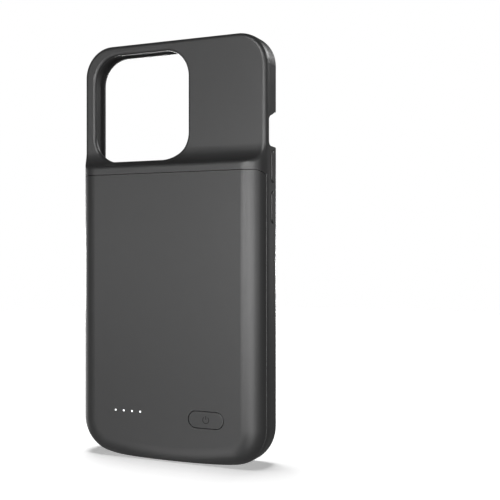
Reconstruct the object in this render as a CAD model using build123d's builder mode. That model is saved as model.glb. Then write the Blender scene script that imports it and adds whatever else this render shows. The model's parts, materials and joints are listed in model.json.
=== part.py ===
from build123d import *
from math import acos, degrees, sqrt
import os

# A battery charging case, standing on its bottom end.
# X runs across the case, Y from its back to its open front, Z up its length from the foot.
# All sizes are in millimetres.

os.makedirs("parts", exist_ok=True)

# What the pocket has to take, and its play
held_width = 71.5
held_height = 146.7
held_depth = 7.65
held_corner = 10.8
pocket_play = 0.2
pocket_depth_play = 0.05

# Walls of the soft frame
side_wall = 2.05
top_wall = 2.35
panel_wall = 1.5
lip_thickness = 1.1
lip_overhang = 1.0
lip_flat = 0.45
lip_edge_round = 0.3
chin_floor = 2.6

# Outer form
top_corner = 11.6
foot_corner = 13.9
back_round = 8.0
foot_cut = 2.6
foot_bow = 140.0
panel_length = 46.15
step_blend = 6.5
step_edge_round = 1.6
shoulder_band = 3.3
level_tolerance = 0.1

# Camera cut-out in the upper panel
cutout_width = 39.8
cutout_length = 40.5
cutout_corner = 10.0
cutout_from_side = 4.9
cutout_from_top = 3.85
cutout_round_share = 0.73

# Back cover, its seam and what holds it
seam = 0.2
seam_edge = 0.3
cover_wall = 1.2
cover_corner = 3.5
post_radius = 1.4
post_gap = 0.6
post_heights = (33.0, 64.0, 95.0)

# Tray between the pocket and the battery
tray_thickness = 0.9
tray_ledge = 0.75
tray_play = 0.1
tray_skin = 0.35
tray_under_shoulder = 1.5

# Battery
battery_thickness = 3.9
battery_length = 73.0
battery_clearance = 0.25
battery_side_gap = 0.8
battery_end_gap = 1.8
battery_corner = 2.5
battery_edge_round = 1.0
tape_thickness = 0.15
tape_margin = 4.0
protection_length = 56.0
protection_width = 3.2
protection_thickness = 0.8
protection_gap = 0.8
tab_width = 5.0
tab_thickness = 0.15
tab_spacing = 30.0
tab_overlap = 2.0
lead_diameter = 1.0
lead_spacing = 2.6
lead_reach = 3.0
lead_shift = 2.0
lead_bend = 1.4

# Main board and the parts on it
board_width = 58.0
board_height = 20.5
board_thickness = 1.0
board_corner = 9.0
board_top_corner = 1.0
board_port_gap = 0.2
board_clearance = 1.0
component_height = 2.1
post_bore_depth = 0.4
screw_diameter = 1.2
screw_head_diameter = 2.4
screw_head_height = 0.5
screw_play = 0.1
screw_post_diameter = 3.2
screw_places = ((-25.5, 17.0), (25.5, 17.0), (-20.0, 3.6), (20.0, 3.6))
chip_size = 5.0
chip_height = 0.8
inductor_size = 5.0
inductor_height = 1.6
inductor_corner = 1.2
capacitor_length = 1.6
capacitor_width = 0.8
capacitor_height = 0.8
capacitor_pitch = 2.4
capacitor_count = 5
board_part_gap = 1.5
board_part_rise = 5.6

# Indicator lamps and the light guide in front of them
lamp_count = 4
lamp_pitch = 3.5
lamp_row_x = -15.6
lamp_row_z = 17.3
lamp_length = 1.6
lamp_width = 0.8
lamp_height = 0.6
lamp_gap = 0.2
guide_post_diameter = 0.7
guide_play = 0.05
guide_margin = 1.7
guide_width = 2.6

# Power button and the switch behind it
power_x = 16.5
power_z = 16.3
power_length = 13.8
power_width = 5.9
power_gap = 0.2
power_edge_round = 0.2
power_flange = 0.9
power_flange_thickness = 0.5
power_travel = 0.35
pad_length = 6.0
pad_width = 3.2
pad_thickness = 0.25
switch_size = 3.6
plunger_diameter = 1.6
plunger_play = 0.2
switch_clearance = 0.1
switch_corner = 0.4
button_play = 0.15

# Key covers in the side walls
key_width = 3.0
key_gap = 0.15
key_proud = 0.45
key_edge_round = 0.4
key_flange = 0.5
key_flange_thickness = 0.45
key_recess = 1.0
key_rest_gap = 0.1
volume_key_length = 11.2
volume_up_from_top = 47.85
volume_down_from_top = 62.25
side_key_length = 19.3
side_key_from_top = 52.95

# Finger notch in the side wall
notch_from_top = 40.45
notch_rear_length = 9.9
notch_flare_up = 3.6
notch_flare_down = 0.3
notch_rear_wall = 0.8
notch_corner = 1.5
notch_edge_round = 0.3

# Plug in the pocket, and what carries it in the chin
plug_blade_width = 6.7
plug_blade_thickness = 1.5
plug_blade_length = 6.6
plug_blade_corner = 0.5
plug_tip_round = 0.4
plug_detent_radius = 0.55
plug_detent_from_tip = 2.6
plug_contact_count = 8
plug_contact_pitch = 0.65
plug_contact_width = 0.38
plug_contact_thickness = 0.04
plug_contact_length = 3.0
plug_contact_from_tip = 1.2
plug_base_width = 12.0
plug_base_depth = 5.2
plug_base_height = 1.15
plug_play = 0.1
blade_play = 0.05
plug_board_thickness = 0.6
plug_board_play = 0.15
plug_board_tail = 7.0
plug_board_depth = 4.6
flex_width = 5.0
flex_thickness = 0.12
flex_bend = 0.5
flex_overlap = 1.0
flex_rise = 4.5

# Charging inlet in the bottom end
port_width = 8.94
port_height = 3.16
port_wall = 0.3
port_depth = 7.3
port_setback = 0.5
port_play = 0.15
tongue_play = 0.05
port_floor = 1.2
tongue_width = 6.7
tongue_thickness = 0.7
tongue_setback = 1.0
port_contact_count = 6
port_contact_pitch = 0.9
port_contact_width = 0.4
port_contact_thickness = 0.05
port_contact_length = 3.0

# Sound openings in the chin
sound_slot_length = 11.0
sound_slot_width = 2.4
sound_slot_x = 21.0

# Overall sizes that follow from the above
pocket_width = held_width + 2 * pocket_play
pocket_height = held_height + 2 * pocket_play
pocket_depth = held_depth + pocket_depth_play
pocket_corner = held_corner + pocket_play
chin_height = chin_floor + plug_board_play + plug_board_thickness + plug_base_height
case_width = pocket_width + 2 * side_wall
case_height = chin_height + pocket_height + top_wall
battery_room = tape_thickness + battery_thickness + battery_clearance
case_depth = lip_thickness + pocket_depth + tray_thickness + battery_room + cover_wall
front_round = side_wall + lip_overhang - lip_flat

# Levels from the open front to the back
y_front = case_depth / 2
y_glass = y_front - lip_thickness
y_floor = y_glass - pocket_depth
y_panel = y_floor - panel_wall
y_tray = y_floor - tray_thickness
y_cell_front = y_tray - tape_thickness
y_back = -case_depth / 2
y_cover = y_back + cover_wall
y_board_back = y_cover + component_height
y_board_front = y_board_back + board_thickness
y_flange = y_cover + button_play
y_pad = y_flange + power_flange_thickness
y_plunger = y_pad + pad_thickness
y_plunger_end = y_board_back - power_travel - switch_clearance
y_switch = y_plunger + power_travel + switch_clearance
y_plug = (y_glass + y_floor) / 2
y_port = y_floor - tray_skin - port_play - port_height / 2

# Heights from the foot to the top
z_room_bottom = cover_wall
z_shoulder = case_height - panel_length
z_cover_top = z_shoulder - shoulder_band
z_room_top = z_cover_top - cover_wall
z_pocket_top = chin_height + pocket_height
z_tray_bottom = chin_height - tray_ledge
z_tray_top = z_cover_top + tray_under_shoulder
z_board_bottom = z_room_bottom + board_clearance
z_board_top = z_board_bottom + board_height
z_plug_board = chin_floor + plug_board_play
z_plug_base = z_plug_board + plug_board_thickness
z_battery_top = z_room_top - battery_end_gap
z_battery_bottom = z_battery_top - battery_length
z_protection_top = z_battery_bottom - protection_gap
z_protection_bottom = z_protection_top - protection_width
z_port_end = port_setback + port_depth
z_plug_tip = chin_height + plug_blade_length
part_row_z = z_port_end + board_port_gap + board_part_rise

# The cell is as wide as the flat inside of the cover lets it be.
room_round = back_round - cover_wall
room_edge = room_round - sqrt(room_round**2 - (room_round - battery_clearance) ** 2)
battery_width = case_width - 2 * (cover_wall + room_edge + battery_side_gap)
post_x = battery_width / 2 + post_gap + post_radius

# The step's hollow blend meets the bulge's back before it has turned a full quarter.
blend_center_y = y_panel - step_blend
blend_turn = degrees(acos((y_back - blend_center_y) / step_blend))
z_blend = z_shoulder + sqrt(step_blend**2 - (y_back - blend_center_y) ** 2)

# Places that several pieces share: each key cover's side and height, the lamps and the screws
key_places = {
    "volume_up_button": (1, case_height - volume_up_from_top, volume_key_length),
    "volume_down_button": (1, case_height - volume_down_from_top, volume_key_length),
    "side_button": (-1, case_height - side_key_from_top, side_key_length),
}
lamp_places = [lamp_row_x + lamp_pitch * (i - (lamp_count - 1) / 2) for i in range(lamp_count)]
screw_spots = [(x, z_board_bottom + z) for x, z in screw_places]


def at_depth(y):
    """Plane across the case at a depth, seen from behind: X to the right, Z up, facing the back."""
    return Plane.XZ.offset(-y)


def slab(front, back, width, bottom, top, corner, high_corner=None, mode=Mode.ADD):
    """A plate with rounded corners between two depths, centred on the case's width."""
    with BuildSketch(at_depth(front)) as plan:
        with Locations((0, (bottom + top) / 2)):
            Rectangle(width, top - bottom)
        fillet(plan.vertices().group_by(Axis.Y)[0], corner)
        fillet(plan.vertices().group_by(Axis.Y)[-1], high_corner or corner)
    extrude(plan.sketch, amount=front - back, mode=mode)


def bowed_slab(front, back, inset):
    """The case's own outline between two depths, drawn in all round, its lower end bowed below the foot."""
    half = case_width / 2 - inset
    high = case_height - inset
    bow = foot_bow - inset
    lowest = inset - foot_cut
    side_end = lowest + bow - sqrt(bow**2 - half**2)
    with BuildSketch(at_depth(front)) as plan:
        with BuildLine():
            low_arc = ThreePointArc((-half, side_end), (0, lowest), (half, side_end))
            Polyline(low_arc @ 1, (half, high), (-half, high), low_arc @ 0)
        make_face()
        fillet(plan.vertices().group_by(Axis.Y)[0], foot_corner - inset)
        fillet(plan.vertices().group_by(Axis.Y)[-1], top_corner - inset)
    extrude(plan.sketch, amount=front - back)


def block(x_range, y_range, z_range, mode=Mode.ADD):
    """A plain block between two limits on each axis."""
    center = (sum(x_range) / 2, sum(y_range) / 2, sum(z_range) / 2)
    with Locations(center):
        Box(x_range[1] - x_range[0], y_range[1] - y_range[0], z_range[1] - z_range[0], mode=mode)


def pill(x, front, z, back, length, width, mode=Mode.ADD):
    """A pill-shaped solid lying across the case between two depths."""
    with BuildSketch(at_depth(front)) as plan:
        with Locations((x, z)):
            SlotOverall(length, width)
    extrude(plan.sketch, amount=front - back, mode=mode)


def side_pill(x_from, x_to, z, length, width, mode=Mode.ADD):
    """A pill-shaped solid through a side wall, its length up the case, between two places across it."""
    with BuildSketch(Plane.YZ.offset(x_from)) as plan:
        with Locations((y_plug, z)):
            SlotOverall(length, width, rotation=90)
    extrude(plan.sketch, amount=x_to - x_from, mode=mode)


def rod(x, front, z, back, diameter, mode=Mode.ADD):
    """A round solid along the case's depth between two depths."""
    with BuildSketch(at_depth(front)) as plan:
        with Locations((x, z)):
            Circle(diameter / 2)
    extrude(plan.sketch, amount=front - back, mode=mode)


# Outer form shared by the frame and the cover: rim, foot, bulge and the step down to the panel
with BuildPart() as outer_form:
    bowed_slab(y_front, y_back, 0)
    fillet(outer_form.faces().sort_by(Axis.Y)[-1].edges(), front_round)
    fillet(outer_form.faces().sort_by(Axis.Y)[0].edges(), back_round)
    block((-case_width, case_width), (y_back, y_front), (-2 * foot_cut, 0), Mode.SUBTRACT)
    with BuildSketch(Plane.YZ.offset(-case_width)):
        with BuildLine():
            beyond_back = y_back - step_blend
            above_top = case_height + step_blend
            panel_line = Line((y_panel, above_top), (y_panel, z_blend))
            blend_arc = CenterArc((blend_center_y, z_blend), step_blend, 0, -blend_turn)
            Polyline(blend_arc @ 1, (beyond_back, z_shoulder), (beyond_back, above_top), panel_line @ 0)
        make_face()
    extrude(amount=2 * case_width, mode=Mode.SUBTRACT)
    panel_face = outer_form.faces().filter_by(Axis.Y).sort_by(Axis.Z)[-1]
    blend_face = outer_form.faces().filter_by(GeomType.CYLINDER).filter_by(
        lambda face: face.bounding_box().size.X > case_width / 2
        and abs(face.bounding_box().max.Z - z_blend) < level_tolerance
    )[0]
    step_rim = panel_face.edges().sort_by(Axis.Z)[1:] + blend_face.edges().sort_by(Axis.Z)[:-1]
    fillet(step_rim, step_edge_round)

# Room inside the bulge, with the cover's posts left standing in it
with BuildPart() as bulge_room:
    room_width = case_width - 2 * cover_wall
    room_corner = foot_corner - cover_wall
    room_front = y_tray - seam
    bowed_slab(y_front, y_cover, cover_wall)
    fillet(bulge_room.faces().sort_by(Axis.Y)[0].edges(), room_round)
    room_top_corner = cover_corner - cover_wall
    room_span = (z_room_bottom, z_room_top)
    slab(room_front, y_cover, room_width, *room_span, room_corner, room_top_corner, Mode.INTERSECT)
    for z in post_heights:
        for x in (-post_x, post_x):
            rod(x, room_front, z, y_back, 2 * post_radius, Mode.SUBTRACT)

# Soft frame: rim, side walls, chin, upper panel and shoulder in one moulding
with BuildPart() as bumper_frame:
    add(outer_form.part)
    slab(y_glass, y_floor, pocket_width, chin_height, z_pocket_top, pocket_corner, mode=Mode.SUBTRACT)
    window_width = pocket_width - 2 * lip_overhang
    window_corner = pocket_corner - lip_overhang
    window_bottom = chin_height + lip_overhang
    window_top = z_pocket_top - lip_overhang
    slab(y_front, y_glass, window_width, window_bottom, window_top, window_corner, mode=Mode.SUBTRACT)
    lip_face = bumper_frame.faces().sort_by(Axis.Y)[-1]
    fillet(lip_face.inner_wires()[0].edges(), lip_edge_round)
    # Camera cut-out, with its outer edge rounded over
    cutout_x = -case_width / 2 + cutout_from_side + cutout_width / 2
    cutout_z = case_height - cutout_from_top - cutout_length / 2
    with BuildSketch(at_depth(y_floor)):
        with Locations((cutout_x, cutout_z)):
            RectangleRounded(cutout_width, cutout_length, cutout_corner)
    extrude(amount=y_floor - y_back, mode=Mode.SUBTRACT)
    cutout_rim = bumper_frame.edges(Select.LAST).filter_by(
        lambda edge: edge.bounding_box().max.Y < y_floor - panel_wall / 2
    )
    blend_lines = cutout_rim.filter_by(Axis.X).filter_by(
        lambda edge: abs(edge.center().Z - z_blend) < level_tolerance
    )
    fillet(cutout_rim - blend_lines, cutout_round_share * panel_wall)
    # Open back for the cover, and the ledge that the tray seats against
    opening_corner = cover_corner + seam
    opening_width = case_width + 2 * seam
    opening_top = z_cover_top + seam
    below_foot = -2 * foot_corner
    slab(y_tray, 2 * y_back, opening_width, below_foot, opening_top, opening_corner, mode=Mode.SUBTRACT)
    seat_width = pocket_width + 2 * (tray_ledge + tray_play)
    seat_bottom = z_tray_bottom - tray_play
    seat_top = z_tray_top + tray_play
    seat_corner = pocket_corner + tray_ledge
    slab(y_floor, y_tray, seat_width, seat_bottom, seat_top, seat_corner, cover_corner, Mode.SUBTRACT)
    # Broken outer edge along the seam
    seam_edges = bumper_frame.edges().filter_by_position(
        Axis.Y, y_tray - level_tolerance, y_tray + level_tolerance
    )
    outer_edges = seam_edges.filter_by(
        lambda edge: edge.center().Z < z_cover_top - opening_corner
        and (abs(edge.center().X) > seat_width / 2 + seam or edge.bounding_box().min.Z < chin_floor)
    )
    fillet(outer_edges, seam_edge)
    # Finger notch, open to the front, with its outer edge rounded over
    notch_bottom = case_height - notch_from_top
    notch_top = notch_bottom + notch_rear_length
    with BuildSketch(Plane.YZ.offset(window_width / 2 - lip_overhang)) as notch:
        with BuildLine():
            notch_rear = y_floor + notch_rear_wall
            notch_front = y_front + lip_thickness
            Polyline(
                (notch_front, notch_bottom - notch_flare_down),
                (notch_rear, notch_bottom),
                (notch_rear, notch_top),
                (notch_front, notch_top + notch_flare_up),
                close=True,
            )
        make_face()
        fillet(notch.vertices().group_by(Axis.X)[0], notch_corner)
    extrude(amount=case_width, mode=Mode.SUBTRACT)
    notch_span = (notch_bottom - notch_corner, notch_top + notch_flare_up)
    notch_edges = bumper_frame.edges(Select.LAST).filter_by_position(Axis.Z, *notch_span)
    notch_rim = notch_edges.filter_by(lambda edge: edge.center().X > case_width / 2 - level_tolerance)
    fillet(notch_rim, notch_edge_round)
    # Slots for the key covers, stepped so that the covers stay in
    for side, z, length in key_places.values():
        inner_face = side * pocket_width / 2
        outer_face = side * case_width / 2
        slot_length = length + 2 * key_gap
        slot_width = key_width + 2 * key_gap
        step_length = slot_length + 2 * key_flange
        step_width = slot_width + 2 * key_flange
        side_pill(inner_face, outer_face, z, slot_length, slot_width, Mode.SUBTRACT)
        side_pill(inner_face, inner_face + side * key_recess, z, step_length, step_width, Mode.SUBTRACT)
    # Plug seat, its board's slot, the charging inlet and the sound openings in the chin
    base_x = plug_base_width / 2 + plug_play
    base_y = plug_base_depth / 2 + plug_play
    block((-base_x, base_x), (y_plug - base_y, y_plug + base_y), (z_plug_base, chin_height), Mode.SUBTRACT)
    slot_y = (y_tray, y_plug + plug_board_depth / 2 + plug_play)
    block((-base_x, base_x + plug_board_tail), slot_y, (chin_floor, seat_bottom), Mode.SUBTRACT)
    with BuildSketch():
        with Locations((0, y_port)):
            SlotOverall(port_width + 2 * port_play, port_height + 2 * port_play)
        with Locations((-sound_slot_x, y_plug), (sound_slot_x, y_plug)):
            SlotOverall(sound_slot_length, sound_slot_width)
    extrude(amount=chin_height, mode=Mode.SUBTRACT)

# Hard cover of the battery bulge
with BuildPart() as back_cover:
    add(outer_form.part)
    slab(room_front, 2 * y_back, case_width, below_foot, z_cover_top, cover_corner, mode=Mode.INTERSECT)
    add(bulge_room.part, mode=Mode.SUBTRACT)
    hole_length = power_length + 2 * power_gap
    hole_width = power_width + 2 * power_gap
    pill(power_x, y_cover, power_z, y_back, hole_length, hole_width, Mode.SUBTRACT)
    for x in lamp_places:
        rod(x, y_cover, lamp_row_z, y_back, guide_post_diameter + 2 * guide_play, Mode.SUBTRACT)
    with BuildSketch():
        with Locations((0, y_port)):
            SlotOverall(port_width + 2 * port_play, port_height + 2 * port_play)
    extrude(amount=z_port_end, mode=Mode.SUBTRACT)

# Tray between the pocket and the battery, with posts for the main board
with BuildPart() as inner_tray:
    tray_width = pocket_width + 2 * tray_ledge
    tray_low_corner = seat_corner - tray_play
    tray_high_corner = cover_corner - tray_play
    slab(y_floor, y_tray, tray_width, z_tray_bottom, z_tray_top, tray_low_corner, tray_high_corner)
    for x, z in screw_spots:
        rod(x, y_tray, z, y_board_front, screw_post_diameter)
        rod(x, y_tray + post_bore_depth, z, y_board_front, screw_diameter + 2 * screw_play, Mode.SUBTRACT)
    recess_x = port_width / 2 + port_play
    recess_z = (z_tray_bottom, z_port_end + port_play)
    block((-recess_x, recess_x), (y_tray, y_floor - tray_skin), recess_z, Mode.SUBTRACT)

# Power button, flush with the cover, held in by its flange
with BuildPart() as power_button:
    pill(power_x, y_flange, power_z, y_back, power_length, power_width)
    fillet(power_button.faces().sort_by(Axis.Y)[0].edges(), power_edge_round)
    flange_length = power_length + 2 * power_flange
    flange_width = power_width + 2 * power_flange
    pill(power_x, y_pad, power_z, y_flange, flange_length, flange_width)

with BuildPart() as button_pad:
    pill(power_x, y_plunger, power_z, y_pad, pad_length, pad_width)

# Tact switch: the plunger rides in its body's bore
with BuildPart() as switch_plunger:
    rod(power_x, y_plunger_end, power_z, y_plunger, plunger_diameter)

with BuildPart() as switch_body:
    with BuildSketch(at_depth(y_board_back)):
        with Locations((power_x, power_z)):
            RectangleRounded(switch_size, switch_size, switch_corner)
            Circle(plunger_diameter / 2 + plunger_play, mode=Mode.SUBTRACT)
    extrude(amount=y_board_back - y_switch)

# Indicator lamps on the board and the clear bar whose posts carry their light through the cover
with BuildPart() as indicator_lamps:
    for x in lamp_places:
        lamp_x = (x - lamp_length / 2, x + lamp_length / 2)
        lamp_z = (lamp_row_z - lamp_width / 2, lamp_row_z + lamp_width / 2)
        block(lamp_x, (y_board_back - lamp_height, y_board_back), lamp_z)

with BuildPart() as light_guide:
    guide_x = (lamp_places[0] - guide_margin, lamp_places[-1] + guide_margin)
    guide_z = (lamp_row_z - guide_width / 2, lamp_row_z + guide_width / 2)
    guide_back = y_cover + guide_play
    block(guide_x, (guide_back, y_board_back - lamp_height - lamp_gap), guide_z)
    for x in lamp_places:
        rod(x, guide_back, lamp_row_z, y_back, guide_post_diameter)

# Main board, notched round the charging inlet
with BuildPart() as main_board:
    board_span = (z_board_bottom, z_board_top)
    slab(y_board_front, y_board_back, board_width, *board_span, board_corner, board_top_corner)
    notch_x = port_width / 2 + board_port_gap
    inlet_z = (z_board_bottom, z_port_end + board_port_gap)
    block((-notch_x, notch_x), (y_board_back, y_board_front), inlet_z, Mode.SUBTRACT)
    for x, z in screw_spots:
        rod(x, y_board_front, z, y_board_back, screw_diameter + 2 * screw_play, Mode.SUBTRACT)

with BuildPart() as board_screws:
    for x, z in screw_spots:
        rod(x, y_board_back, z, y_board_back - screw_head_height, screw_head_diameter)
        rod(x, y_tray + post_bore_depth - screw_play, z, y_board_back, screw_diameter)

with BuildPart() as controller_chip:
    chip_x = (-board_part_gap - chip_size, -board_part_gap)
    block(chip_x, (y_board_back - chip_height, y_board_back), (part_row_z, part_row_z + chip_size))

with BuildPart() as boost_inductor:
    with BuildSketch(at_depth(y_board_back)):
        with Locations((board_part_gap + inductor_size / 2, part_row_z + inductor_size / 2)):
            RectangleRounded(inductor_size, inductor_size, inductor_corner)
    extrude(amount=inductor_height)

with BuildPart() as board_capacitors:
    capacitor_y = y_board_back - capacitor_height / 2
    capacitor_z = part_row_z - capacitor_pitch / 2
    with Locations((0, capacitor_y, capacitor_z)):
        with GridLocations(capacitor_pitch, capacitor_pitch, capacitor_count, 1):
            Box(capacitor_length, capacitor_height, capacitor_width)

# Pouch cell, the tape under it and the board on its terminal edge
with BuildPart() as battery_cell:
    y_cell_back = y_cell_front - battery_thickness
    slab(y_cell_front, y_cell_back, battery_width, z_battery_bottom, z_battery_top, battery_corner)
    cell_faces = battery_cell.faces().sort_by(Axis.Y)
    fillet(cell_faces[0].edges() + cell_faces[-1].edges(), battery_edge_round)

with BuildPart() as battery_tape:
    tape_width = battery_width - 2 * tape_margin
    tape_bottom = z_battery_bottom + tape_margin
    tape_top = z_battery_top - tape_margin
    slab(y_tray, y_cell_front, tape_width, tape_bottom, tape_top, battery_corner)

with BuildPart() as protection_board:
    y_protection = y_board_back + protection_thickness
    protection_x = (-protection_length / 2, protection_length / 2)
    block(protection_x, (y_board_back, y_protection), (z_protection_bottom, z_protection_top))

with BuildPart() as battery_tabs:
    for x in (-tab_spacing / 2, tab_spacing / 2):
        tab_x = (x - tab_width / 2, x + tab_width / 2)
        tab_z = (z_protection_top - tab_overlap, z_battery_bottom)
        block(tab_x, (y_protection, y_protection + tab_thickness), tab_z)

# Two leads lying on the protection board and the main board
with BuildPart() as battery_leads:
    y_lead = y_board_back - lead_diameter / 2
    lead_top = z_protection_bottom + protection_width / 2
    lead_end = z_board_top - lead_reach
    for x in (-lead_spacing / 2, lead_spacing / 2):
        with BuildLine(at_depth(y_lead)) as route:
            FilletPolyline(
                (x, lead_top),
                (x, z_protection_bottom),
                (x + lead_shift, z_board_top - lead_reach / 2),
                (x + lead_shift, lead_end),
                radius=lead_bend,
            )
        with BuildSketch(Plane(origin=route.line @ 0, z_dir=route.line % 0)) as lead_section:
            Circle(lead_diameter / 2)
        sweep(lead_section.sketch, path=route.line)

# Plug in the pocket: a rounded blade with a detent in each edge
with BuildPart() as plug_blade:
    with BuildSketch(Plane.XY.offset(z_plug_base)):
        with Locations((0, y_plug)):
            RectangleRounded(plug_blade_width, plug_blade_thickness, plug_blade_corner)
    extrude(amount=z_plug_tip - z_plug_base)
    fillet(plug_blade.faces().sort_by(Axis.Z)[-1].edges(), plug_tip_round)
    blade_front = y_plug + plug_blade_thickness / 2
    blade_back = y_plug - plug_blade_thickness / 2
    detent_z = z_plug_tip - plug_detent_from_tip
    for x in (-plug_blade_width / 2, plug_blade_width / 2):
        rod(x, blade_front, detent_z, blade_back, 2 * plug_detent_radius, Mode.SUBTRACT)

with BuildPart() as plug_contacts:
    contact_z = z_plug_tip - plug_contact_from_tip - plug_contact_length / 2
    contact_offset = (plug_blade_thickness + plug_contact_thickness) / 2
    with Locations((0, y_plug - contact_offset, contact_z), (0, y_plug + contact_offset, contact_z)):
        with GridLocations(plug_contact_pitch, plug_contact_pitch, plug_contact_count, 1):
            Box(plug_contact_width, plug_contact_thickness, plug_contact_length)

with BuildPart() as plug_base:
    half_base = plug_base_width / 2
    base_depth = (y_plug - plug_base_depth / 2, y_plug + plug_base_depth / 2)
    block((-half_base, half_base), base_depth, (z_plug_base, chin_height))
    with BuildSketch(Plane.XY.offset(z_plug_base)):
        with Locations((0, y_plug)):
            blade_slot = (plug_blade_width + 2 * blade_play, plug_blade_thickness + 2 * blade_play)
            RectangleRounded(*blade_slot, plug_blade_corner + blade_play)
    extrude(amount=plug_base_height, mode=Mode.SUBTRACT)

with BuildPart() as plug_board:
    plug_board_y = (y_plug - plug_board_depth / 2, y_plug + plug_board_depth / 2)
    block((-half_base, half_base + plug_board_tail), plug_board_y, (z_plug_board, z_plug_base))

# Ribbon from the plug's board, under the tray, up to the main board
with BuildPart() as plug_flex:
    flex_start = half_base + (plug_board_tail - flex_width) / 2
    flex_z = z_plug_base + flex_thickness / 2
    flex_y = y_board_front + flex_thickness / 2
    with BuildSketch(Plane.YZ.offset(flex_start)):
        with BuildLine() as ribbon:
            FilletPolyline(
                (plug_board_y[0] + flex_overlap, flex_z),
                (flex_y, flex_z),
                (flex_y, z_board_bottom + flex_rise),
                radius=flex_bend,
            )
        trace(ribbon.line, flex_thickness)
    extrude(amount=flex_width)

# Charging inlet: metal shell, insulating tongue and the strips on it
with BuildPart() as port_shell:
    with BuildSketch(Plane.XY.offset(port_setback)):
        with Locations((0, y_port)):
            SlotOverall(port_width, port_height)
            SlotOverall(port_width - 2 * port_wall, port_height - 2 * port_wall, mode=Mode.SUBTRACT)
    extrude(amount=port_depth)

with BuildPart() as port_tongue:
    inner_width = port_width - 2 * (port_wall + tongue_play)
    inner_height = port_height - 2 * (port_wall + tongue_play)
    z_port_floor = z_port_end - port_floor
    z_tongue = port_setback + tongue_setback
    with BuildSketch(Plane.XY.offset(z_port_floor)):
        with Locations((0, y_port)):
            SlotOverall(inner_width, inner_height)
    extrude(amount=port_floor)
    tongue_y = (y_port - tongue_thickness / 2, y_port + tongue_thickness / 2)
    block((-tongue_width / 2, tongue_width / 2), tongue_y, (z_tongue, z_port_floor))

with BuildPart() as port_contacts:
    strip_z = z_tongue + tongue_play + port_contact_length / 2
    strip_offset = (tongue_thickness + port_contact_thickness) / 2
    with Locations((0, y_port - strip_offset, strip_z), (0, y_port + strip_offset, strip_z)):
        with GridLocations(port_contact_pitch, port_contact_pitch, port_contact_count, 1):
            Box(port_contact_width, port_contact_thickness, port_contact_length)

pieces = {
    "bumper_frame": bumper_frame.part,
    "back_cover": back_cover.part,
    "inner_tray": inner_tray.part,
    "power_button": power_button.part,
    "button_pad": button_pad.part,
    "switch_plunger": switch_plunger.part,
    "switch_body": switch_body.part,
    "indicator_lamps": indicator_lamps.part,
    "light_guide": light_guide.part,
    "main_board": main_board.part,
    "board_screws": board_screws.part,
    "controller_chip": controller_chip.part,
    "boost_inductor": boost_inductor.part,
    "board_capacitors": board_capacitors.part,
    "battery_cell": battery_cell.part,
    "battery_tape": battery_tape.part,
    "protection_board": protection_board.part,
    "battery_tabs": battery_tabs.part,
    "battery_leads": battery_leads.part,
    "plug_blade": plug_blade.part,
    "plug_contacts": plug_contacts.part,
    "plug_base": plug_base.part,
    "plug_board": plug_board.part,
    "plug_flex": plug_flex.part,
    "port_shell": port_shell.part,
    "port_tongue": port_tongue.part,
    "port_contacts": port_contacts.part,
}

# Key covers: a cap through the wall and a flange behind it
for name, (side, z, length) in key_places.items():
    with BuildPart() as key:
        flange_outer = side * (pocket_width / 2 + key_recess - key_rest_gap)
        flange_inner = flange_outer - side * key_flange_thickness
        side_pill(flange_outer, side * (case_width / 2 + key_proud), z, length, key_width)
        cap_face = key.faces().sort_by(Axis.X)[-1 if side > 0 else 0]
        fillet(cap_face.edges(), key_edge_round)
        side_pill(flange_inner, flange_outer, z, length + 2 * key_flange, key_width + 2 * key_flange)
    pieces[name] = key.part

for name, piece in pieces.items():
    piece.label = name
    export_step(piece, f"parts/{name}.step")
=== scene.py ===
import json
from math import cos, pi, radians, sin, tau

import bmesh
import bpy
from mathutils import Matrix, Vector


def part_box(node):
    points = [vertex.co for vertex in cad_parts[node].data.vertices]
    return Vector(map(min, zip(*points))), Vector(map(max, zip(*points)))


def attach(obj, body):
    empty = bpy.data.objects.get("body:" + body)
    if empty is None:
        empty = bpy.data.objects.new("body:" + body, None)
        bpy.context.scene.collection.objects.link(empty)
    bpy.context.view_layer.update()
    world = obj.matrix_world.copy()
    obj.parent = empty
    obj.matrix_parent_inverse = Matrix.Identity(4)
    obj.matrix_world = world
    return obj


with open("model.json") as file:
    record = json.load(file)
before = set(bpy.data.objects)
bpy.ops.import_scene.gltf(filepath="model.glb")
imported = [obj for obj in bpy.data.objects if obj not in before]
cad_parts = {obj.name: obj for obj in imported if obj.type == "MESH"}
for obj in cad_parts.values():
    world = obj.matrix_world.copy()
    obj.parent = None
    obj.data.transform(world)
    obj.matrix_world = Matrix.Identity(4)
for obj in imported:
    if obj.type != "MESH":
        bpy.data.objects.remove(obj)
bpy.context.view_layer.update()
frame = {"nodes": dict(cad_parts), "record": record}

# All sizes here are in metres.
MM = 0.001
UP = Vector((0, 0, 1))

# Camera of the photograph, level and turned about the upright axis
IMAGE_SIDE = 500
SENSOR_WIDTH = 36.0
FOCAL_PIXELS = 876.07
CAMERA_TURN = radians(23.779)
CAMERA_PLACE = (155.95 * MM, -285.17 * MM, 76.58 * MM)
CLIP_START = 10 * MM

# Print on the charge button: an open ring, and a bar through its gap
SYMBOL_RADIUS = 1.2 * MM
SYMBOL_STROKE = 0.3 * MM
SYMBOL_GAP = radians(84)
BAR_BOTTOM = 0.3 * MM
BAR_TOP = 1.35 * MM
SYMBOL_PROUD = 0.006 * MM
SYMBOL_DEPTH = 0.03 * MM
SYMBOL_STEPS = 48
END_STEPS = 8

# Tone and gloss of the moulded outside, whose cover and button are a little darker than its frame
CASE_GREY = 0.015
CASE_ROUGH = 0.4
COVER_TONE = 0.97
BUTTON_TONE = 0.93

# What moulded skins share: a cool cast, faint clouds in their tone and a fine grain in their gloss
COOL_CAST = 1.01
CLOUD_SIZE = 6 * MM
CLOUD_TONE = 0.04
GRAIN_ROUGH = 0.03

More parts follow.
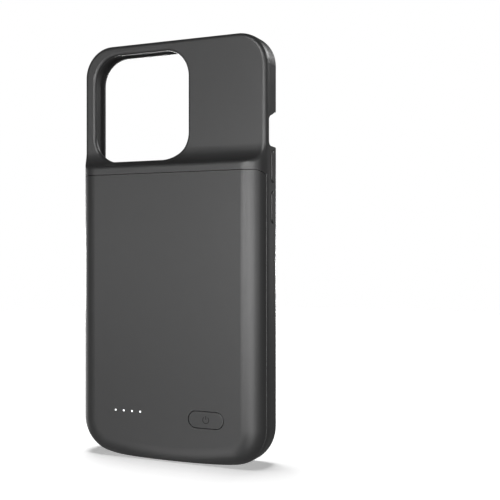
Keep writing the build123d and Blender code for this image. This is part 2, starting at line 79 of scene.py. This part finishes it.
# Glow at the ends of the lamps' light guide, and the blend between the two leads' jackets
GUIDE_GLOW = 0.9
GLOW_DEPTH = 0.4 * MM
JACKET_BLEND = 0.05 * MM

# Floor disc, which fades into the background
FLOOR_RADIUS = 0.9
FLOOR_FADE = (0.45, 0.85)
FLOOR_STEPS = 96
FLOOR_GLOW = 0.4

# Brightness of the background as the camera sees it, and as it lights the object from above and from below
BACKGROUND_SEEN = 1.0
BACKGROUND_ABOVE = 0.02
BACKGROUND_BELOW = 0.17
BACKGROUND_BLEND = 0.1

# Upright softboxes in a ring round the case: azimuth in degrees, lower and upper end, width and power.
# Those below the floor's level stand for the light that a pale floor throws back.
LIGHT_DISTANCE = 1.0
SOFTBOXES = {
    "under": (-25, -2.0, -0.35, 0.4, 6.2),
    "corner": (40, -2.2, -0.8, 0.4, 1.5),
    "foot": (36, -0.8, -0.1, 0.5, 2.8),
    "low": (-30, -0.3, 0.0, 0.3, 0.15),
    "rim_left": (-112, -0.3, 0.2, 0.6, 1.4),
    "upper_left": (-40, 0.3, 0.5, 0.3, 0.35),
    "left": (-35, 0.0, 0.2, 0.2, 0.55),
    "middle": (-5, 0.0, 0.2, 0.2, 3.6),
    "right": (20, 0.0, 0.2, 0.3, 3.6),
    "key": (38, 0.0, 0.2, 0.2, 2.0),
    "edge": (48, 0.0, 0.2, 0.2, 1.0),
    "side": (66, 0.0, 0.2, 0.2, 0.8),
    "rim": (150, 0.0, 0.2, 0.4, 0.2),
    "high": (5, 0.5, 0.9, 0.4, 8.0),
    "front_left": (-140, 0.0, 0.1, 0.6, 6.0),
    "front_middle": (-170, 0.0, 0.1, 0.4, 5.0),
    "front_right": (140, 0.5, 1.1, 0.6, 9.0),
}

# One more, level and high overhead, lights the floor alone.
FLOOR_LIGHT_PLACE = (-0.4, 0.3, 4.0)
FLOOR_LIGHT_SIDE = 1.5
FLOOR_LIGHT_POWER = 150.0


# Node materials


class Surface:
    """A principled material under construction, with short calls for the nodes that feed it."""

    def __init__(self, name, **sockets):
        self.material = bpy.data.materials.new(name)
        self.material.use_nodes = True
        self.tree = self.material.node_tree
        self.shader = self.tree.nodes["Principled BSDF"]
        self.set(**sockets)
        self.coordinates = self.tree.nodes.new("ShaderNodeTexCoord").outputs["Object"]

    def set(self, **sockets):
        for key, value in sockets.items():
            self.shader.inputs[key.replace("_", " ")].default_value = value

    def node(self, kind, **settings):
        made = self.tree.nodes.new(kind)
        for key, value in settings.items():
            setattr(made, key, value)
        return made

    def feed(self, source, target):
        self.tree.links.new(source, target)

    def noise(self, size, detail=3.0, roughness=0.5, stretch=(1, 1, 1)):
        """Noise whose grains are about that size, stretched along the axes."""
        mapping = self.node("ShaderNodeMapping")
        mapping.inputs["Scale"].default_value = stretch
        self.feed(self.coordinates, mapping.inputs["Vector"])
        noise = self.node("ShaderNodeTexNoise")
        noise.inputs["Scale"].default_value = 1 / size
        noise.inputs["Detail"].default_value = detail
        noise.inputs["Roughness"].default_value = roughness
        self.feed(mapping.outputs["Vector"], noise.inputs["Vector"])
        return noise.outputs["Fac"]

    def range(self, value, low, high, from_low=0.3, from_high=0.7):
        """A value spread from one range onto another."""
        spread = self.node("ShaderNodeMapRange")
        spread.inputs["From Min"].default_value = from_low
        spread.inputs["From Max"].default_value = from_high
        spread.inputs["To Min"].default_value = low
        spread.inputs["To Max"].default_value = high
        self.feed(value, spread.inputs["Value"])
        return spread.outputs["Result"]

    def tint(self, value, dark, light):
        """A colour between two by a value from 0 to 1."""
        ramp = self.node("ShaderNodeValToRGB")
        ramp.color_ramp.elements[0].color = (*dark, 1)
        ramp.color_ramp.elements[1].color = (*light, 1)
        self.feed(value, ramp.inputs["Fac"])
        return ramp.outputs["Color"]

    def along(self, axis):
        """The place along one axis of the frame."""
        split = self.node("ShaderNodeSeparateXYZ")
        self.feed(self.coordinates, split.inputs["Vector"])
        return split.outputs[axis]

    def bump(self, height, depth, strength=1.0):
        bump = self.node("ShaderNodeBump")
        bump.inputs["Strength"].default_value = strength
        bump.inputs["Distance"].default_value = depth
        self.feed(height, bump.inputs["Height"])
        self.feed(bump.outputs["Normal"], self.shader.inputs["Normal"])

    def color(self, source):
        self.feed(source, self.shader.inputs["Base Color"])

    def roughness(self, source):
        self.feed(source, self.shader.inputs["Roughness"])


def grey(level):
    return (level, level, level * COOL_CAST)


def moulded(name, level, rough, grain=0.12 * MM, depth=0.002 * MM):
    """Dyed plastic or rubber: an even tone with faint clouds, and a fine grain that breaks up the gloss."""
    skin = Surface(name)
    clouds = skin.noise(CLOUD_SIZE, detail=4)
    fine = skin.noise(grain, detail=2)
    dark = grey(level * (1 - CLOUD_TONE))
    light = grey(level * (1 + CLOUD_TONE))
    skin.color(skin.tint(skin.range(clouds, 0, 1), dark, light))
    skin.roughness(skin.range(fine, rough - GRAIN_ROUGH, rough + GRAIN_ROUGH))
    skin.bump(fine, depth)
    return skin.material


def metal(name, color, rough, brush=(1, 1, 1), depth=0.002 * MM):
    """Plated metal with fine streaks along one axis and slight stains in its gloss."""
    plate = Surface(name, Metallic=1.0)
    streaks = plate.noise(0.15 * MM, detail=4, stretch=brush)
    stains = plate.noise(1.5 * MM, detail=3)
    plate.color(plate.tint(plate.range(stains, 0, 1), [c * 0.92 for c in color], color))
    plate.roughness(plate.range(streaks, rough - 0.08, rough + 0.1))
    plate.bump(streaks, depth)
    return plate.material


def circuit_board(name):
    """Green solder mask over copper lanes that show through as slightly lighter runs."""
    board = Surface(name, Coat_Weight=0.3, Coat_Roughness=0.15)
    lanes = board.node("ShaderNodeTexBrick", offset=0.37, squash=1.6)
    lanes.inputs["Scale"].default_value = 1 / (2.4 * MM)
    lanes.inputs["Mortar Size"].default_value = 0.09
    lanes.inputs["Mortar Smooth"].default_value = 0.2
    turned = board.node("ShaderNodeMapping")
    turned.inputs["Rotation"].default_value = (radians(90), 0, 0)
    board.feed(board.coordinates, turned.inputs["Vector"])
    board.feed(turned.outputs["Vector"], lanes.inputs["Vector"])
    board.color(board.tint(lanes.outputs["Fac"], (0.012, 0.085, 0.04), (0.03, 0.17, 0.075)))
    board.roughness(board.range(board.noise(0.4 * MM), 0.3, 0.42))
    board.bump(lanes.outputs["Fac"], 0.02 * MM)
    return board.material


def pouch_foil(name):
    """Laminated foil, drawn slightly wavy over the cell."""
    foil = Surface(name, Metallic=0.85)
    waves = foil.noise(9 * MM, detail=3, stretch=(1, 1, 0.5))
    fine = foil.noise(0.3 * MM, detail=3)
    foil.color(foil.tint(foil.range(waves, 0, 1), (0.52, 0.53, 0.54), (0.66, 0.67, 0.68)))
    foil.roughness(foil.range(fine, 0.28, 0.4))
    foil.bump(waves, 0.15 * MM, 0.5)
    return foil.material


def clear_guide(name):
    """Clear moulded bar that glows where its posts end at the cover's outside."""
    guide = Surface(name, Transmission_Weight=0.6, IOR=1.58, Emission_Color=(1, 1, 1, 1))
    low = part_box("light_guide")[0].y
    lit = guide.range(guide.along("Y"), GUIDE_GLOW, 0.0, low, low + GLOW_DEPTH)
    guide.feed(lit, guide.shader.inputs["Emission Strength"])
    guide.color(guide.tint(guide.noise(1 * MM), (0.8, 0.83, 0.86), (0.9, 0.92, 0.94)))
    guide.roughness(guide.range(guide.noise(0.3 * MM), 0.12, 0.22))
    return guide.material


def lead_jacket(name):
    """Two jackets, one red and one black, told apart by their side of the case."""
    jacket = Surface(name)
    low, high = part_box("battery_leads")
    middle = (low[0] + high[0]) / 2
    side = jacket.range(jacket.along("X"), 0, 1, middle - JACKET_BLEND, middle + JACKET_BLEND)
    jacket.color(jacket.tint(side, (0.5, 0.02, 0.015), (0.02, 0.02, 0.02)))
    jacket.roughness(jacket.range(jacket.noise(0.3 * MM), 0.35, 0.5))
    return jacket.material


def speckled(name, dark, light, rough, size, depth):
    """A pressed, fired or rolled stuff with a visible grain of its own."""
    stuff = Surface(name)
    grains = stuff.noise(size, detail=4, roughness=0.6)
    stuff.color(stuff.tint(stuff.range(grains, 0, 1), dark, light))
    stuff.roughness(stuff.range(grains, rough - 0.07, rough + 0.07))
    stuff.bump(grains, depth)
    return stuff.material


looks = {
    "soft_frame": moulded("soft_frame", CASE_GREY, CASE_ROUGH),
    "cover_shell": moulded("cover_shell", CASE_GREY * COVER_TONE, CASE_ROUGH),
    "tray_shell": moulded("tray_shell", 0.04, 0.5, grain=0.3 * MM, depth=0.01 * MM),
    "button_cap": moulded("button_cap", CASE_GREY * BUTTON_TONE, CASE_ROUGH),
    "key_cover": moulded("key_cover", CASE_GREY, CASE_ROUGH),
    "pad_rubber": moulded("pad_rubber", 0.1, 0.7),
    "insulator": moulded("insulator", 0.02, 0.42),
    "chip_resin": moulded("chip_resin", 0.02, 0.55, grain=0.2 * MM),
    "plated_steel": metal("plated_steel", (0.72, 0.71, 0.69), 0.28, brush=(1, 1, 0.1)),
    "screw_steel": metal("screw_steel", (0.4, 0.4, 0.41), 0.32),
    "tab_metal": metal("tab_metal", (0.75, 0.74, 0.72), 0.3, brush=(1, 1, 0.1)),
    "contact_gold": metal("contact_gold", (0.83, 0.58, 0.2), 0.22, brush=(1, 1, 0.1)),
    "lamp_lens": speckled(
        "lamp_lens", (0.85, 0.85, 0.82), (0.95, 0.95, 0.93), 0.3, 0.5 * MM, 0.002 * MM
    ),
    "clear_guide": clear_guide("clear_guide"),
    "circuit_board": circuit_board("circuit_board"),
    "ferrite": speckled("ferrite", (0.1, 0.1, 0.105), (0.19, 0.19, 0.2), 0.6, 0.15 * MM, 0.02 * MM),
    "capacitor_body": speckled(
        "capacitor_body", (0.38, 0.27, 0.16), (0.52, 0.4, 0.26), 0.45, 0.2 * MM, 0.004 * MM
    ),
    "cell_foil": pouch_foil("cell_foil"),
    "tape": speckled("tape", (0.66, 0.63, 0.56), (0.78, 0.75, 0.68), 0.6, 0.6 * MM, 0.01 * MM),
    "lead_jacket": lead_jacket("lead_jacket"),
    "ribbon_film": speckled(
        "ribbon_film", (0.3, 0.13, 0.03), (0.42, 0.2, 0.05), 0.25, 1.2 * MM, 0.004 * MM
    ),
}
for entry in frame["record"]["subparts"]:
    shown = frame["nodes"][entry["node"]]
    shown.data.materials.clear()
    shown.data.materials.append(looks[entry["material_slot"]])


# Power symbol printed on the charge button


def ring_outline(radius, stroke, gap):
    """Outline of an open ring with round ends, its gap at the top, as points in the button's face."""
    start = pi / 2 + gap / 2
    turn = tau - gap
    points = []
    for side in (1, -1):
        reach = radius + side * stroke / 2
        steps = range(SYMBOL_STEPS + 1)[::side]
        angles = [start + turn * i / SYMBOL_STEPS for i in steps]
        points += [(reach * cos(angle), reach * sin(angle)) for angle in angles]
        end = start + turn if side > 0 else start
        middle = (radius * cos(end), radius * sin(end))
        facing = end if side > 0 else end + pi
        for i in range(1, END_STEPS):
            angle = facing + pi * i / END_STEPS
            points.append((middle[0] + stroke / 2 * cos(angle), middle[1] + stroke / 2 * sin(angle)))
    return points


def bar_outline(bottom, top, stroke):
    """Outline of an upright bar with round ends."""
    points = []
    for middle, facing in ((top, 0.0), (bottom, pi)):
        for i in range(END_STEPS + 1):
            angle = facing + pi * i / END_STEPS
            points.append((stroke / 2 * cos(angle), middle + stroke / 2 * sin(angle)))
    return points


def printed(name, outlines, x, face, z):
    """Thin prints of these outlines on a face that looks to the back."""
    shape = bmesh.new()
    for outline in outlines:
        front = [shape.verts.new((x + u, face - SYMBOL_PROUD, z + v)) for u, v in outline]
        back = [shape.verts.new((x + u, face + SYMBOL_DEPTH, z + v)) for u, v in outline]
        shape.faces.new(front)
        shape.faces.new(back[::-1])
        for i, corner in enumerate(front):
            j = (i + 1) % len(front)
            shape.faces.new((corner, back[i], back[j], front[j]))
    bmesh.ops.recalc_face_normals(shape, faces=shape.faces)
    mesh = bpy.data.meshes.new(name)
    shape.to_mesh(mesh)
    shape.free()
    piece = bpy.data.objects.new(name, mesh)
    bpy.context.scene.collection.objects.link(piece)
    return piece


def print_ink(name):
    """Matt ink, a little darker than the button round it."""
    ink = Surface(name, Specular_IOR_Level=0.1)
    ink.color(ink.tint(ink.noise(0.2 * MM), grey(0.008), grey(0.012)))
    ink.roughness(ink.range(ink.noise(0.1 * MM), 0.5, 0.6))
    return ink.material


button_low, button_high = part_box("power_button")
symbol = printed(
    "power_symbol",
    (
        ring_outline(SYMBOL_RADIUS, SYMBOL_STROKE, SYMBOL_GAP),
        bar_outline(BAR_BOTTOM, BAR_TOP, SYMBOL_STROKE),
    ),
    (button_low[0] + button_high[0]) / 2,
    button_low[1],
    (button_low[2] + button_high[2]) / 2,
)
symbol.data.materials.append(print_ink("symbol_ink"))
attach(symbol, "charge_button")


# Floor, background, lights and camera


def pale_floor():
    """A pale disc that fades into the background at its rim."""
    shape = bmesh.new()
    bmesh.ops.create_circle(shape, cap_ends=True, segments=FLOOR_STEPS, radius=FLOOR_RADIUS)
    mesh = bpy.data.meshes.new("floor")
    shape.to_mesh(mesh)
    shape.free()
    floor = bpy.data.objects.new("floor", mesh)
    bpy.context.scene.collection.objects.link(floor)
    paint = Surface("floor_paint", Roughness=0.9, Specular_IOR_Level=0.1, Emission_Strength=FLOOR_GLOW)
    paint.color(paint.tint(paint.noise(0.2), (0.9, 0.9, 0.9), (0.92, 0.92, 0.92)))
    reach = paint.node("ShaderNodeVectorMath", operation="LENGTH")
    paint.feed(paint.coordinates, reach.inputs[0])
    paint.feed(paint.range(reach.outputs["Value"], 1, 0, *FLOOR_FADE), paint.shader.inputs["Alpha"])
    mesh.materials.append(paint.material)
    floor.visible_diffuse = False
    floor.visible_glossy = False
    floor.visible_shadow = False
    return floor


def background(seen, above, below):
    """An even background for the camera, which lights the object less, and more from below than above."""
    world = bpy.data.worlds.new("studio")
    world.use_nodes = True
    bpy.context.scene.world = world
    tree = world.node_tree
    sky = tree.nodes["Background"]
    way = tree.nodes.new("ShaderNodeTexCoord")
    split = tree.nodes.new("ShaderNodeSeparateXYZ")
    tree.links.new(way.outputs["Generated"], split.inputs["Vector"])
    cast = tree.nodes.new("ShaderNodeMapRange")
    cast.inputs["From Min"].default_value = -BACKGROUND_BLEND
    cast.inputs["From Max"].default_value = BACKGROUND_BLEND
    cast.inputs["To Min"].default_value = below
    cast.inputs["To Max"].default_value = above
    tree.links.new(split.outputs["Z"], cast.inputs["Value"])
    path = tree.nodes.new("ShaderNodeLightPath")
    spread = tree.nodes.new("ShaderNodeMapRange")
    spread.inputs["To Max"].default_value = seen
    tree.links.new(path.outputs["Is Camera Ray"], spread.inputs["Value"])
    tree.links.new(cast.outputs["Result"], spread.inputs["To Min"])
    tree.links.new(spread.outputs["Result"], sky.inputs["Strength"])
    sky.inputs["Color"].default_value = (1, 1, 1, 1)


def area_light(name, place, back, width, height, power):
    """A rectangular light that turns its back that way, and that the camera doesn't see."""
    data = bpy.data.lights.new(name, "AREA")
    data.shape = "RECTANGLE"
    data.size = width
    data.size_y = height
    data.energy = power
    lamp = bpy.data.objects.new(name, data)
    lamp.location = place
    lamp.rotation_euler = back.to_track_quat("Z", "Y").to_euler()
    lamp.visible_camera = False
    bpy.context.scene.collection.objects.link(lamp)
    return lamp


def softbox(name, azimuth, low, high, width, power):
    """An upright light in the ring. Azimuth 0 stands behind the case, on its -Y side."""
    way = Vector((sin(radians(azimuth)), -cos(radians(azimuth)), 0))
    place = way * LIGHT_DISTANCE + Vector((0, 0, (low + high) / 2))
    return area_light(name, place, way, width, high - low, power)


floor = pale_floor()
background(BACKGROUND_SEEN, BACKGROUND_ABOVE, BACKGROUND_BELOW)
studio_lights = [softbox(name, *settings) for name, settings in SOFTBOXES.items()]
floor_light = area_light(
    "floor_light", FLOOR_LIGHT_PLACE, UP, FLOOR_LIGHT_SIDE, FLOOR_LIGHT_SIDE, FLOOR_LIGHT_POWER
)
# The floor takes its own light alone, and the case all the others.
for lamp in (floor_light, *studio_lights):
    linked = bpy.data.collections.new(lamp.name + "_links")
    linked.objects.link(floor)
    state = "INCLUDE" if lamp is floor_light else "EXCLUDE"
    linked.collection_objects[0].light_linking.link_state = state
    lamp.light_linking.receiver_collection = linked

camera_data = bpy.data.cameras.new("camera")
camera_data.sensor_width = SENSOR_WIDTH
camera_data.lens = FOCAL_PIXELS / IMAGE_SIDE * SENSOR_WIDTH
camera_data.clip_start = CLIP_START
camera = bpy.data.objects.new("camera", camera_data)
camera.location = CAMERA_PLACE
camera.rotation_euler = (pi / 2, 0, CAMERA_TURN)
bpy.context.scene.collection.objects.link(camera)
bpy.context.scene.camera = camera
bpy.context.scene.view_settings.view_transform = "Standard"
